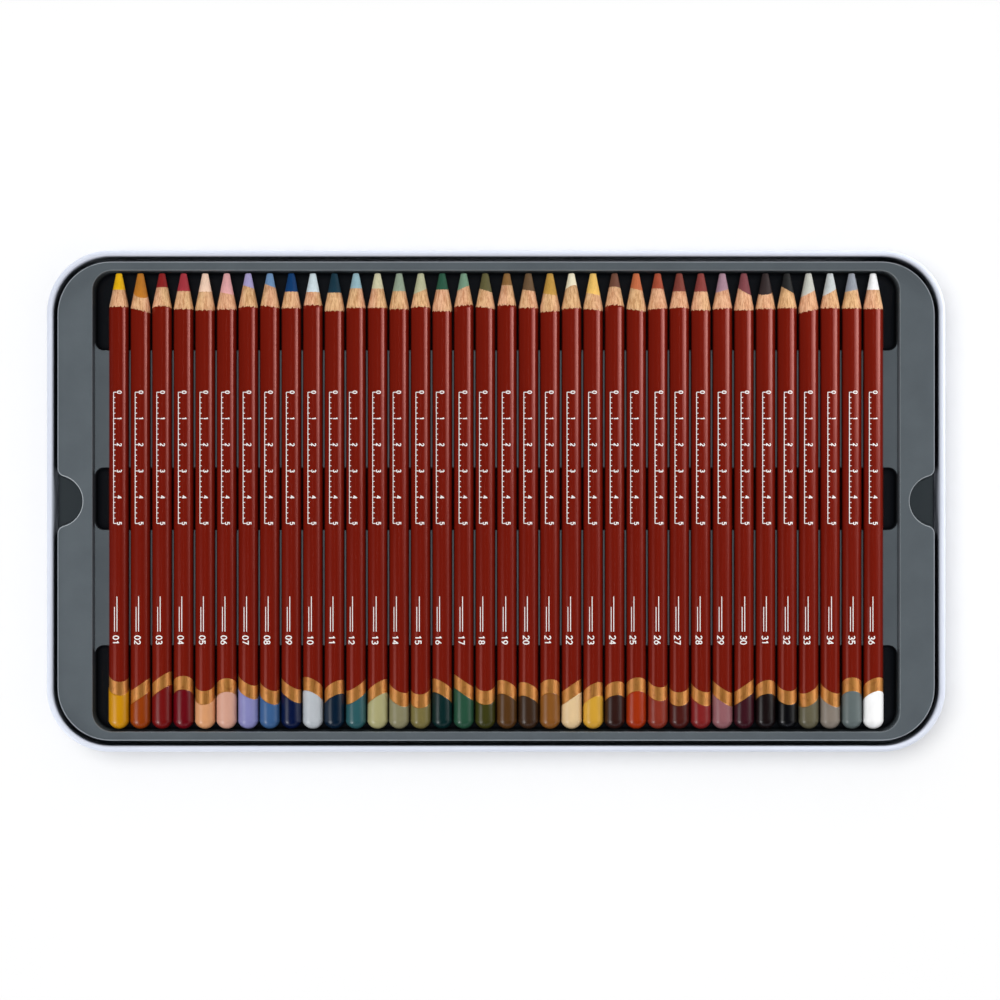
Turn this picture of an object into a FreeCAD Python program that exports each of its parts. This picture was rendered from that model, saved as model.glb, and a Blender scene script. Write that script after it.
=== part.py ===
import FreeCAD, Part
import math
import os
import Sketcher

# A set of round drawing pencils side by side in a grey thermoformed tray, which lifts out of a shallow drawn
# tin with a rolled rim. Millimetres, +Z up. X runs across the pencils, left to right, and Y along them, with
# the points at +Y. The origin is the middle of the tin's underside.

# Driving sizes, in millimetres where nothing else is said. Each becomes one cell of the sheet. The pencils
# set the size of the tray, and the tray sets the size of the tin.
SIZES = {
    # pencils
    "pencil_count": 36,
    "pencil_gap": 0.32,
    "pencil_length": 174.0,
    "barrel_diameter": 7.65,
    "core_diameter": 5.0,
    "core_glue_gap": 0.02,
    "point_length": 13.3,
    "point_diameter": 2.2,
    "point_round": 0.5,
    "dip_length": 13.0,
    "dip_coat": 0.13,
    "dome_height": 3.0,
    # recess in the tray, measured at the flange, around the row of pencils
    "row_end_gap": 5.895,
    "pencil_end_gap": 0.9,
    "recess_corner_radius": 7.6,
    # seats of the pencils
    "cradle_depth": 1.9,
    "cradle_gap": 0.225,
    # platforms that carry the pencils, and the wells beside them
    "platform_depth": 5.5,
    "point_platform_width": 44.7,
    "end_platform_width": 44.0,
    "finger_well_width": 24.0,
    "finger_well_offset": 0.9,
    "well_corner_radius": 3.4,
    "well_foot_radius": 2.4,
    # flange and skirt of the tray
    "tray_height": 13.7,
    "tray_sheet": 0.6,
    "tray_draft_degrees": 4,
    "flange_end_width": 13.3,
    "flange_side_width": 3.4,
    "flange_lip_radius": 0.6,
    # finger notches in the flange
    "notch_radius": 9.8,
    "notch_entry_radius": 3.0,
    "notch_depth": 9.55,
    # tin, with the clearances of the tray's foot beyond the rounded edge of the tin's floor
    "tray_end_clearance": 0.1,
    "tray_side_clearance": 0.4,
    "tin_plate": 0.3,
    "tin_edge_radius": 1.0,
    "tin_corner_radius": 24.0,
    "rim_diameter": 2.1,
    "rim_turn_degrees": 300,
    "rim_stand": 3.0,
}

# Lengths worked out from the driving sizes, as expressions on the sheet.
DIP_DIAMETER = "(Sizes.barrel_diameter + 2 * Sizes.dip_coat)"
PENCIL_PITCH = f"({DIP_DIAMETER} + Sizes.pencil_gap)"
FIRST_TO_LAST = f"({PENCIL_PITCH} * (Sizes.pencil_count - 1))"
CONE_SLOPE = "((Sizes.barrel_diameter - Sizes.point_diameter) / 2 / Sizes.point_length)"
CORE_SHOWN = f"((Sizes.core_diameter - Sizes.point_diameter) / 2 / {CONE_SLOPE})"
RECESS_LENGTH = f"({FIRST_TO_LAST} + {DIP_DIAMETER} + 2 * Sizes.row_end_gap)"
RECESS_WIDTH = "(Sizes.pencil_length + 2 * Sizes.pencil_end_gap)"
DRAFT_ANGLE = "Sizes.tray_draft_degrees * 1deg"
DRAFT_SLOPE = f"tan({DRAFT_ANGLE})"
UNDER_FLANGE = "(Sizes.tray_height - Sizes.tray_sheet)"
SKIRT_FLARE = f"({UNDER_FLANGE} * {DRAFT_SLOPE})"
FLOOR_ROUNDING = "(Sizes.tin_edge_radius - Sizes.tin_plate)"
TRAY_END_GAP = f"({FLOOR_ROUNDING} + Sizes.tray_end_clearance)"
TRAY_SIDE_GAP = f"({FLOOR_ROUNDING} + Sizes.tray_side_clearance)"
FLANGE_LENGTH = f"({RECESS_LENGTH} + 2 * Sizes.flange_end_width)"
FLANGE_WIDTH = f"({RECESS_WIDTH} + 2 * Sizes.flange_side_width)"
FOOT_LENGTH = f"({FLANGE_LENGTH} + 2 * {SKIRT_FLARE})"
FOOT_WIDTH = f"({FLANGE_WIDTH} + 2 * {SKIRT_FLARE})"
TIN_INNER_LENGTH = f"({FOOT_LENGTH} + 2 * {TRAY_END_GAP})"
TIN_INNER_WIDTH = f"({FOOT_WIDTH} + 2 * {TRAY_SIDE_GAP})"
TIN_INNER_CORNER = "(Sizes.tin_corner_radius - Sizes.rim_diameter)"
FOOT_CORNER = f"({TIN_INNER_CORNER} - {TRAY_END_GAP})"
FLANGE_CORNER = f"({FOOT_CORNER} - {SKIRT_FLARE})"
TIN_HEIGHT = "(Sizes.tin_plate + Sizes.tray_height + Sizes.rim_stand)"
RIM_CENTRE_HEIGHT = f"({TIN_HEIGHT} - Sizes.rim_diameter / 2)"
RIM_PATH_LENGTH = f"({TIN_INNER_LENGTH} + Sizes.rim_diameter)"
RIM_PATH_WIDTH = f"({TIN_INNER_WIDTH} + Sizes.rim_diameter)"
PLATFORM_HEIGHT = "(Sizes.tray_height - Sizes.platform_depth)"
# the wells narrow as they go down, so at the flange they are this much wider than at the platform
WELL_SPREAD = f"(Sizes.platform_depth * {DRAFT_SLOPE})"
FINGER_WELL_TOP = "(Sizes.finger_well_offset + Sizes.finger_well_width / 2)"
FINGER_WELL_BOTTOM = "(Sizes.finger_well_offset - Sizes.finger_well_width / 2)"
POINT_PLATFORM_EDGE = f"({FINGER_WELL_TOP} + Sizes.point_platform_width)"
END_PLATFORM_EDGE = f"({FINGER_WELL_BOTTOM} - Sizes.end_platform_width)"
CRADLE_RADIUS = "(Sizes.barrel_diameter / 2 + Sizes.cradle_gap)"
CRADLE_AXIS_HEIGHT = f"({PLATFORM_HEIGHT} - Sizes.cradle_depth + {CRADLE_RADIUS})"
# a notch's arc and the arcs that lead into it touch, so their centres are this far apart
NOTCH_REACH = "(Sizes.notch_radius + Sizes.notch_entry_radius)"
NOTCH_MOUTH = f"(2 * sqrt({NOTCH_REACH} ^ 2 - ({NOTCH_REACH} - Sizes.notch_depth) ^ 2))"

LEVEL_TOLERANCE = 1e-4

doc = FreeCAD.newDocument("drawing_pencil_set")


def make_sheet():
    """Puts every driving size into a cell of its own, under its name."""
    sheet = doc.addObject("Spreadsheet::Sheet", "Sizes")
    for row, (alias, size) in enumerate(SIZES.items(), start=1):
        sheet.set(f"A{row}", alias)
        sheet.set(f"B{row}", str(size))
        sheet.setAlias(f"B{row}", alias)
    doc.recompute()
    return sheet


sheet = make_sheet()


def number(expression):
    """The value of an expression on the sheet, as a plain number."""
    found = sheet.evalExpression(expression)
    return float(getattr(found, "Value", found))


def new_body(name):
    body = doc.addObject("PartDesign::Body", name)
    body.Label = name
    return body


def new_sketch(body, name, plane="XY_Plane", height="0"):
    """A sketch on one of the body's own origin planes, lifted along the plane's normal by an expression."""
    sketch = body.newObject("Sketcher::SketchObject", name)
    support = [feature for feature in body.Origin.OriginFeatures if feature.Role == plane][0]
    sketch.AttachmentSupport = [(support, "")]
    sketch.MapMode = "FlatFace"
    sketch.setExpression("AttachmentOffset.Base.z", height)
    return sketch


def line(sketch, start, end):
    return sketch.addGeometry(Part.LineSegment(FreeCAD.Vector(*start, 0), FreeCAD.Vector(*end, 0)))


def arc(sketch, centre, radius, start_angle, end_angle):
    """An arc run anticlockwise between two angles in radians."""
    circle = Part.Circle(FreeCAD.Vector(*centre, 0), FreeCAD.Vector(0, 0, 1), radius)
    return sketch.addGeometry(Part.ArcOfCircle(circle, start_angle, end_angle))


def tie(sketch, *words):
    return sketch.addConstraint(Sketcher.Constraint(*words))


def drive(sketch, name, expression, kind, *places):
    """Adds a dimension, names it and binds it to an expression on the sheet."""
    index = tie(sketch, kind, *places, number(expression))
    sketch.renameConstraint(index, name)
    sketch.setExpression(f"Constraints.{name}", expression)


def join_tangent(sketch, chain):
    """Joins a closed chain of (geometry, first end, last end) end to end, each tangent to the next."""
    for (this, _, last), (following, first, _) in zip(chain, chain[1:] + chain[:1]):
        tie(sketch, "Tangent", this, last, following, first)


def rounded_rectangle(sketch, prefix, length, width, radius):
    """A rectangle about the origin with its four corners rounded alike."""
    x, y, r = number(length) / 2, number(width) / 2, number(radius)
    quarter = math.pi / 2
    bottom = line(sketch, (r - x, -y), (x - r, -y))
    corners = [arc(sketch, (x - r, r - y), r, -quarter, 0)]
    right = line(sketch, (x, r - y), (x, y - r))
    corners.append(arc(sketch, (x - r, y - r), r, 0, quarter))
    top = line(sketch, (x - r, y), (r - x, y))
    corners.append(arc(sketch, (r - x, y - r), r, quarter, 2 * quarter))
    left = line(sketch, (-x, y - r), (-x, r - y))
    corners.append(arc(sketch, (r - x, r - y), r, 2 * quarter, 3 * quarter))
    sides = [bottom, right, top, left]
    chain = [(piece, 1, 2) for pair in zip(sides, corners) for piece in pair]
    join_tangent(sketch, chain)
    for side in (bottom, top):
        tie(sketch, "Horizontal", side)
    for side in (right, left):
        tie(sketch, "Vertical", side)
    for corner in corners[1:]:
        tie(sketch, "Equal", corners[0], corner)
    tie(sketch, "Symmetric", bottom, 1, top, 1, -1, 1)
    drive(sketch, prefix + "_length", length, "DistanceX", left, 1, right, 1)
    drive(sketch, prefix + "_width", width, "DistanceY", bottom, 1, top, 1)
    drive(sketch, prefix + "_corner", radius, "Radius", corners[0])


def notched_rectangle(sketch, prefix, length, width, radius, notch_radius, entry_radius):
    """A rounded rectangle whose two ends have a round finger notch at mid-width, led in by round corners.

    A notch's arc bulges into the outline and touches, from outside, the two arcs that round its mouth.
    """
    x, y, r = number(length) / 2, number(width) / 2, number(radius)
    notch, entry, mouth = number(notch_radius), number(entry_radius), number(NOTCH_MOUTH) / 2
    # the centres of the entry arcs lie entry inwards from the end, and the notch's centre lies inset inwards
    reach = math.sqrt((notch + entry) ** 2 - mouth**2)
    inset = entry - reach
    swing = math.atan2(mouth, reach)
    quarter = math.pi / 2
    bottom = line(sketch, (r - x, -y), (x - r, -y))
    top = line(sketch, (x - r, y), (r - x, y))
    corners = [
        arc(sketch, (x - r, r - y), r, -quarter, 0),
        arc(sketch, (x - r, y - r), r, 0, quarter),
        arc(sketch, (r - x, y - r), r, quarter, 2 * quarter),
        arc(sketch, (r - x, r - y), r, 2 * quarter, 3 * quarter),
    ]
    right_low = line(sketch, (x, r - y), (x, -mouth))
    right_high = line(sketch, (x, mouth), (x, y - r))
    left_high = line(sketch, (-x, y - r), (-x, mouth))
    left_low = line(sketch, (-x, -mouth), (-x, r - y))
    entries = [
        arc(sketch, (x - entry, -mouth), entry, 0, swing),
        arc(sketch, (x - entry, mouth), entry, -swing, 0),
        arc(sketch, (entry - x, mouth), entry, 2 * quarter, 2 * quarter + swing),
        arc(sketch, (entry - x, -mouth), entry, 2 * quarter - swing, 2 * quarter),
    ]
    right_notch = arc(sketch, (x - inset, 0), notch, 2 * quarter - swing, 2 * quarter + swing)
    left_notch = arc(sketch, (inset - x, 0), notch, -swing, swing)
    join_tangent(
        sketch,
        [
            (bottom, 1, 2),
            (corners[0], 1, 2),
            (right_low, 1, 2),
            (entries[0], 1, 2),
            (right_notch, 2, 1),
            (entries[1], 1, 2),
            (right_high, 1, 2),
            (corners[1], 1, 2),
            (top, 1, 2),
            (corners[2], 1, 2),
            (left_high, 1, 2),
            (entries[2], 1, 2),
            (left_notch, 2, 1),
            (entries[3], 1, 2),
            (left_low, 1, 2),
            (corners[3], 1, 2),
        ],
    )
    for side in (bottom, top):
        tie(sketch, "Horizontal", side)
    for side in (right_low, right_high, left_high, left_low):
        tie(sketch, "Vertical", side)
    for corner in corners[1:]:
        tie(sketch, "Equal", corners[0], corner)
    for other in entries[1:]:
        tie(sketch, "Equal", entries[0], other)
    tie(sketch, "Equal", right_notch, left_notch)
    for notch_arc in (right_notch, left_notch):
        tie(sketch, "PointOnObject", notch_arc, 3, -1)
    tie(sketch, "Symmetric", bottom, 1, top, 1, -1, 1)
    drive(sketch, prefix + "_length", length, "DistanceX", left_low, 1, right_low, 1)
    drive(sketch, prefix + "_width", width, "DistanceY", bottom, 1, top, 1)
    drive(sketch, prefix + "_corner", radius, "Radius", corners[0])
    drive(sketch, prefix + "_notch", notch_radius, "Radius", right_notch)
    drive(sketch, prefix + "_entry", entry_radius, "Radius", entries[0])
    drive(sketch, prefix + "_right_mouth", NOTCH_MOUTH, "DistanceY", right_low, 2, right_high, 1)
    drive(sketch, prefix + "_left_mouth", NOTCH_MOUTH, "DistanceY", left_low, 1, left_high, 2)


def well_outline(sketch, low, high, low_radius, high_radius):
    """A well across the whole recess, from low to high along Y, with one radius for each pair of corners."""
    x, y0, y1 = number(RECESS_LENGTH) / 2, number(low), number(high)
    r0, r1 = number(low_radius), number(high_radius)
    quarter = math.pi / 2
    bottom = line(sketch, (r0 - x, y0), (x - r0, y0))
    low_right = arc(sketch, (x - r0, y0 + r0), r0, -quarter, 0)
    right = line(sketch, (x, y0 + r0), (x, y1 - r1))
    high_right = arc(sketch, (x - r1, y1 - r1), r1, 0, quarter)
    top = line(sketch, (x - r1, y1), (r1 - x, y1))
    high_left = arc(sketch, (r1 - x, y1 - r1), r1, quarter, 2 * quarter)
    left = line(sketch, (-x, y1 - r1), (-x, y0 + r0))
    low_left = arc(sketch, (r0 - x, y0 + r0), r0, 2 * quarter, 3 * quarter)
    loop = [bottom, low_right, right, high_right, top, high_left, left, low_left]
    join_tangent(sketch, [(piece, 1, 2) for piece in loop])
    tie(sketch, "Horizontal", top)
    for side in (right, left):
        tie(sketch, "Vertical", side)
    tie(sketch, "Equal", low_right, low_left)
    tie(sketch, "Equal", high_right, high_left)
    tie(sketch, "Symmetric", bottom, 1, bottom, 2, -2)
    drive(sketch, "length", RECESS_LENGTH, "DistanceX", left, 1, right, 1)
    drive(sketch, "low", low, "DistanceY", -1, 1, bottom, 1)
    drive(sketch, "high", high, "DistanceY", -1, 1, top, 1)
    drive(sketch, "low_corner", low_radius, "Radius", low_right)
    drive(sketch, "high_corner", high_radius, "Radius", high_right)


def plain_rectangle(sketch, length, low, high):
    """A rectangle centred on Y, from low to high along Y."""
    x, y0, y1 = number(length) / 2, number(low), number(high)
    bottom = line(sketch, (-x, y0), (x, y0))
    right = line(sketch, (x, y0), (x, y1))
    top = line(sketch, (x, y1), (-x, y1))
    left = line(sketch, (-x, y1), (-x, y0))
    loop = [bottom, right, top, left]
    for this, following in zip(loop, loop[1:] + loop[:1]):
        tie(sketch, "Coincident", this, 2, following, 1)
    tie(sketch, "Horizontal", top)
    for side in (right, left):
        tie(sketch, "Vertical", side)
    tie(sketch, "Symmetric", bottom, 1, bottom, 2, -2)
    drive(sketch, "length", length, "DistanceX", bottom, 1, bottom, 2)
    drive(sketch, "low", low, "DistanceY", -1, 1, bottom, 1)
    drive(sketch, "high", high, "DistanceY", -1, 1, top, 1)


def add_feature(body, kind, name, profile, **bindings):
    """A feature on a sketch, with each property bound to an expression, built at once."""
    feature = body.newObject("PartDesign::" + kind, name)
    feature.Profile = profile
    for prop, expression in bindings.items():
        feature.setExpression(prop, expression)
    doc.recompute()
    return feature


def round_edges(body, name, edges_kept, radius):
    """Rounds those edges of the body's tip for which edges_kept says yes."""
    base = body.Tip
    edges = [f"Edge{i}" for i, edge in enumerate(base.Shape.Edges, start=1) if edges_kept(edge)]
    fillet = body.newObject("PartDesign::Fillet", name)
    fillet.Base = (base, edges)
    fillet.setExpression("Radius", radius)
    doc.recompute()
    return fillet


def at_height(level):
    """A test for edges that lie wholly at one height."""

    def test(edge):
        box = edge.BoundBox
        return abs(box.ZMin - level) < LEVEL_TOLERANCE and abs(box.ZMax - level) < LEVEL_TOLERANCE

    return test


def make_tin():
    """The tin: a drawn shell with a rounded foot, and its top edge rolled outwards into a hollow rim."""
    body = new_body("tin_base")
    outer = new_sketch(body, "wall_outline")
    rounded_rectangle(
        outer,
        "wall",
        f"{TIN_INNER_LENGTH} + 2 * Sizes.tin_plate",
        f"{TIN_INNER_WIDTH} + 2 * Sizes.tin_plate",
        f"{TIN_INNER_CORNER} + Sizes.tin_plate",
    )
    add_feature(body, "Pad", "wall", outer, Length=RIM_CENTRE_HEIGHT)
    round_edges(body, "foot_outside", at_height(0), "Sizes.tin_edge_radius")
    inner = new_sketch(body, "inside_outline", height=RIM_CENTRE_HEIGHT)
    rounded_rectangle(inner, "inside", TIN_INNER_LENGTH, TIN_INNER_WIDTH, TIN_INNER_CORNER)
    add_feature(body, "Pocket", "inside", inner, Length=f"{RIM_CENTRE_HEIGHT} - Sizes.tin_plate")
    floor = number("Sizes.tin_plate")
    round_edges(body, "foot_inside", at_height(floor), "Sizes.tin_edge_radius - Sizes.tin_plate")
    make_rolled_rim(body)
    return body


def make_rolled_rim(body):
    """The rim: a strip as thick as the wall, rolled over most of a turn and carried round the tin's top."""
    path = new_sketch(body, "rim_path", height=RIM_CENTRE_HEIGHT)
    rounded_rectangle(
        path,
        "rim",
        RIM_PATH_LENGTH,
        RIM_PATH_WIDTH,
        "Sizes.tin_corner_radius - Sizes.rim_diameter / 2",
    )
    # on this plane the sketch's first axis is Y and its second is Z; at -Y the roll turns away from the tin
    section = new_sketch(body, "rim_section", plane="YZ_Plane")
    middle = (-number(RIM_PATH_WIDTH) / 2, number(RIM_CENTRE_HEIGHT))
    outside = number("Sizes.rim_diameter / 2")
    inside = outside - number("Sizes.tin_plate")
    turn = math.radians(number("Sizes.rim_turn_degrees"))
    outer = arc(section, middle, outside, 0, turn)
    inner = arc(section, middle, inside, 0, turn)

    def on_roll(radius, angle):
        return (middle[0] + radius * math.cos(angle), middle[1] + radius * math.sin(angle))

    root = line(section, on_roll(inside, 0), on_roll(outside, 0))
    end = line(section, on_roll(outside, turn), on_roll(inside, turn))
    tie(section, "Coincident", root, 1, inner, 1)
    tie(section, "Coincident", root, 2, outer, 1)
    tie(section, "Coincident", end, 1, outer, 2)
    tie(section, "Coincident", end, 2, inner, 2)
    tie(section, "Coincident", outer, 3, inner, 3)
    tie(section, "Horizontal", root)
    tie(section, "PointOnObject", outer, 3, end)
    drive(section, "rim_radius", "Sizes.rim_diameter / 2", "Radius", outer)
    drive(section, "rim_thickness", "Sizes.tin_plate", "Distance", root, 1, root, 2)
    drive(section, "rim_height", RIM_CENTRE_HEIGHT, "DistanceY", -1, 1, outer, 3)
    drive(section, "rim_place", f"{RIM_PATH_WIDTH} / 2", "DistanceX", outer, 3, -1, 1)
    drive(section, "rim_turn", "Sizes.rim_turn_degrees * 1deg", "Angle", root, 1, end, 2)
    pipe = body.newObject("PartDesign::AdditivePipe", "rolled_rim")
    pipe.Profile = section
    pipe.Spine = path
    doc.recompute()
    return pipe


def make_tray():
    """The tray: one formed sheet with flange, flaring skirt, two platforms, three wells and two notches."""
    body = new_body("pencil_tray")
    foot = new_sketch(body, "foot_outline")
    rounded_rectangle(foot, "foot", FOOT_LENGTH, FOOT_WIDTH, FOOT_CORNER)
    add_feature(body, "Pad", "foot", foot, Length="Sizes.tray_sheet")
    flange = new_sketch(body, "flange_outline", height="Sizes.tray_height")
    notched_rectangle(
        flange,
        "flange",
        FLANGE_LENGTH,
        FLANGE_WIDTH,
        FLANGE_CORNER,
        "Sizes.notch_radius",
        "Sizes.notch_entry_radius",
    )
    upper = add_feature(body, "Pad", "skirt", flange, Length=UNDER_FLANGE, TaperAngle=DRAFT_ANGLE)
    upper.Reversed = True
    doc.recompute()
    hang_tub(body)
    cut_wells(body)
    cut_platforms(body)
    cut_hollows(body)
    top = number("Sizes.tray_height")
    round_edges(body, "lip", at_height(top), "Sizes.flange_lip_radius")
    cut_cradles(body)
    body.setExpression("Placement.Base.z", "Sizes.tin_plate")
    return body


def hang_tub(body):
    """Hollows the form down to its flange and skirt, then hangs in it the block that holds the recess."""
    inside = new_sketch(body, "skirt_inside_outline", height=UNDER_FLANGE)
    notched_rectangle(
        inside,
        "inside",
        f"{FLANGE_LENGTH} - 2 * Sizes.tray_sheet",
        f"{FLANGE_WIDTH} - 2 * Sizes.tray_sheet",
        f"{FLANGE_CORNER} - Sizes.tray_sheet",
        "Sizes.notch_radius + Sizes.tray_sheet",
        "Sizes.notch_entry_radius - Sizes.tray_sheet",
    )
    add_feature(body, "Pocket", "skirt_inside", inside, Length=UNDER_FLANGE, TaperAngle=DRAFT_ANGLE)
    outline = new_sketch(body, "tub_outline", height=UNDER_FLANGE)
    rounded_rectangle(
        outline,
        "tub",
        f"{RECESS_LENGTH} + 2 * Sizes.tray_sheet",
        f"{RECESS_WIDTH} + 2 * Sizes.tray_sheet",
        "Sizes.recess_corner_radius + Sizes.tray_sheet",
    )
    tub = add_feature(body, "Pad", "tub", outline, Length=UNDER_FLANGE, TaperAngle=f"-{DRAFT_ANGLE}")
    tub.Reversed = True
    doc.recompute()


def cut_wells(body):
    """The three wells, each drafted from the flange to the tray's floor and rounded at its foot."""
    half = f"{RECESS_WIDTH} / 2"
    small = f"Sizes.well_corner_radius + {WELL_SPREAD}"
    large = "Sizes.recess_corner_radius"
    wells = {
        "point_well": (f"{POINT_PLATFORM_EDGE} - {WELL_SPREAD}", half, small, large),
        "finger_well": (
            f"{FINGER_WELL_BOTTOM} - {WELL_SPREAD}",
            f"{FINGER_WELL_TOP} + {WELL_SPREAD}",
            small,
            small,
        ),
        "end_well": (f"-{half}", f"{END_PLATFORM_EDGE} + {WELL_SPREAD}", large, small),
    }
    for name, (low, high, low_radius, high_radius) in wells.items():
        outline = new_sketch(body, name + "_outline", height="Sizes.tray_height")
        well_outline(outline, low, high, low_radius, high_radius)
        add_feature(body, "Pocket", name, outline, Length=UNDER_FLANGE, TaperAngle=f"-{DRAFT_ANGLE}")
    at_floor = at_height(number("Sizes.tray_sheet"))
    reach = number(RECESS_LENGTH) / 2

    def in_a_well(edge):
        return at_floor(edge) and edge.BoundBox.XMax < reach and edge.BoundBox.XMin > -reach

    round_edges(body, "well_feet", in_a_well, "Sizes.well_foot_radius")


def cut_platforms(body):
    """The two cuts down to the platforms, which run on into the wells on both sides, past their corners."""
    run_on = "2 * Sizes.well_corner_radius"
    spans = {
        "point_platform": (f"{FINGER_WELL_TOP} - {run_on}", f"{POINT_PLATFORM_EDGE} + {run_on}"),
        "end_platform": (f"{END_PLATFORM_EDGE} - {run_on}", f"{FINGER_WELL_BOTTOM} + {run_on}"),
    }
    for name, (low, high) in spans.items():
        outline = new_sketch(body, name + "_outline", height="Sizes.tray_height")
        plain_rectangle(outline, RECESS_LENGTH, low, high)
        add_feature(
            body, "Pocket", name, outline, Length="Sizes.platform_depth", TaperAngle=f"-{DRAFT_ANGLE}"
        )


def cut_hollows(body):
    """Takes out the space under each platform, down to the sheet."""
    # under a platform the sheet is thinnest at the bottom of the cradles
    ceiling = f"{PLATFORM_HEIGHT} - Sizes.cradle_depth - Sizes.tray_sheet"
    drop = f"(Sizes.platform_depth + Sizes.cradle_depth + Sizes.tray_sheet) * {DRAFT_SLOPE}"
    wall = f"(Sizes.tray_sheet - (Sizes.cradle_depth + Sizes.tray_sheet) * {DRAFT_SLOPE})"
    length = f"{RECESS_LENGTH} - 2 * {drop} - 2 * Sizes.tray_sheet"
    spans = {
        "point_hollow": (f"{FINGER_WELL_TOP} + {wall}", f"{POINT_PLATFORM_EDGE} - {wall}"),
        "end_hollow": (f"{END_PLATFORM_EDGE} + {wall}", f"{FINGER_WELL_BOTTOM} - {wall}"),
    }
    for name, (low, high) in spans.items():
        outline = new_sketch(body, name + "_outline", height=ceiling)
        plain_rectangle(outline, length, low, high)
        add_feature(body, "Pocket", name, outline, Length=ceiling)


def cut_cradles(body):
    """A row of round seats across both platforms, one for each pencil."""
    circle = new_sketch(body, "cradle_circle", plane="XZ_Plane")
    centre = FreeCAD.Vector(-number(FIRST_TO_LAST) / 2, number(CRADLE_AXIS_HEIGHT), 0)
    seat = circle.addGeometry(Part.Circle(centre, FreeCAD.Vector(0, 0, 1), number(CRADLE_RADIUS)))
    drive(circle, "radius", CRADLE_RADIUS, "Radius", seat)
    drive(circle, "first", f"{FIRST_TO_LAST} / 2", "DistanceX", seat, 3, -1, 1)
    drive(circle, "height", CRADLE_AXIS_HEIGHT, "DistanceY", -1, 1, seat, 3)
    reach = f"2 * max({POINT_PLATFORM_EDGE}; -{END_PLATFORM_EDGE}) + 2 * Sizes.well_corner_radius"
    cut = add_feature(body, "Pocket", "cradle", circle, Length=reach)
    cut.Midplane = True
    doc.recompute()
    row = body.newObject("PartDesign::LinearPattern", "cradle_row")
    row.Originals = [cut]
    row.Direction = (circle, ["H_Axis"])
    row.setExpression("Length", FIRST_TO_LAST)
    row.setExpression("Occurrences", "Sizes.pencil_count")
    body.Tip = row
    doc.recompute()


def make_casing():
    """A pencil's cedar casing about the Y axis: sharpened cone, barrel, dip coat, domed end and bore."""
    body = new_body("casing")
    sketch = new_sketch(body, "casing_profile")
    half = number("Sizes.pencil_length") / 2
    barrel = number("Sizes.barrel_diameter") / 2
    dip = barrel + number("Sizes.dip_coat")
    bore = number("Sizes.core_diameter") / 2
    dome = number("Sizes.dome_height")
    shoulder = half - number("Sizes.point_length")
    mouth = half - number(CORE_SHOWN)
    dip_start = number("Sizes.dip_length") - half
    dome_start = dome - half
    sphere = (dip**2 + dome**2) / (2 * dome)
    lean = math.asin(dip / sphere)
    cone = line(sketch, (bore, mouth), (barrel, shoulder))
    side = line(sketch, (barrel, shoulder), (barrel, dip_start))
    step = line(sketch, (barrel, dip_start), (dip, dip_start))
    coat = line(sketch, (dip, dip_start), (dip, dome_start))
    quarter = math.pi / 2
    cap = arc(sketch, (0, sphere - half), sphere, -quarter, lean - quarter)
    axis = line(sketch, (0, -half), (0, dome_start))
    floor = line(sketch, (0, dome_start), (bore, dome_start))
    wall = line(sketch, (bore, dome_start), (bore, mouth))
    for this, last, following, first in (
        (cone, 2, side, 1),
        (side, 2, step, 1),
        (step, 2, coat, 1),
        (coat, 2, cap, 2),
        (cap, 1, axis, 1),
        (axis, 2, floor, 1),
        (floor, 2, wall, 1),
        (wall, 2, cone, 1),
    ):
        tie(sketch, "Coincident", this, last, following, first)
    for upright in (side, coat, wall):
        tie(sketch, "Vertical", upright)
    for level in (step, floor):
        tie(sketch, "Horizontal", level)
    tie(sketch, "PointOnObject", axis, 1, -2)
    tie(sketch, "PointOnObject", axis, 2, -2)
    tie(sketch, "PointOnObject", cap, 3, -2)
    drive(sketch, "barrel", "Sizes.barrel_diameter / 2", "DistanceX", -1, 1, side, 1)
    drive(sketch, "coat", "Sizes.dip_coat", "DistanceX", step, 1, step, 2)
    drive(sketch, "bore", "Sizes.core_diameter / 2", "DistanceX", -1, 1, floor, 2)
    drive(sketch, "shoulder", "Sizes.pencil_length / 2 - Sizes.point_length", "DistanceY", -1, 1, side, 1)
    drive(sketch, "mouth", f"Sizes.pencil_length / 2 - {CORE_SHOWN}", "DistanceY", -1, 1, cone, 1)
    drive(sketch, "dip", "Sizes.pencil_length / 2 - Sizes.dip_length", "DistanceY", step, 1, -1, 1)
    drive(sketch, "dome", "Sizes.dome_height", "DistanceY", axis, 1, axis, 2)
    drive(sketch, "end", "Sizes.pencil_length / 2", "DistanceY", axis, 1, -1, 1)
    tie(sketch, "Horizontal", coat, 2, floor, 1)
    turn_about_y(body, sketch, "casing_turned")
    return body


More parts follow.
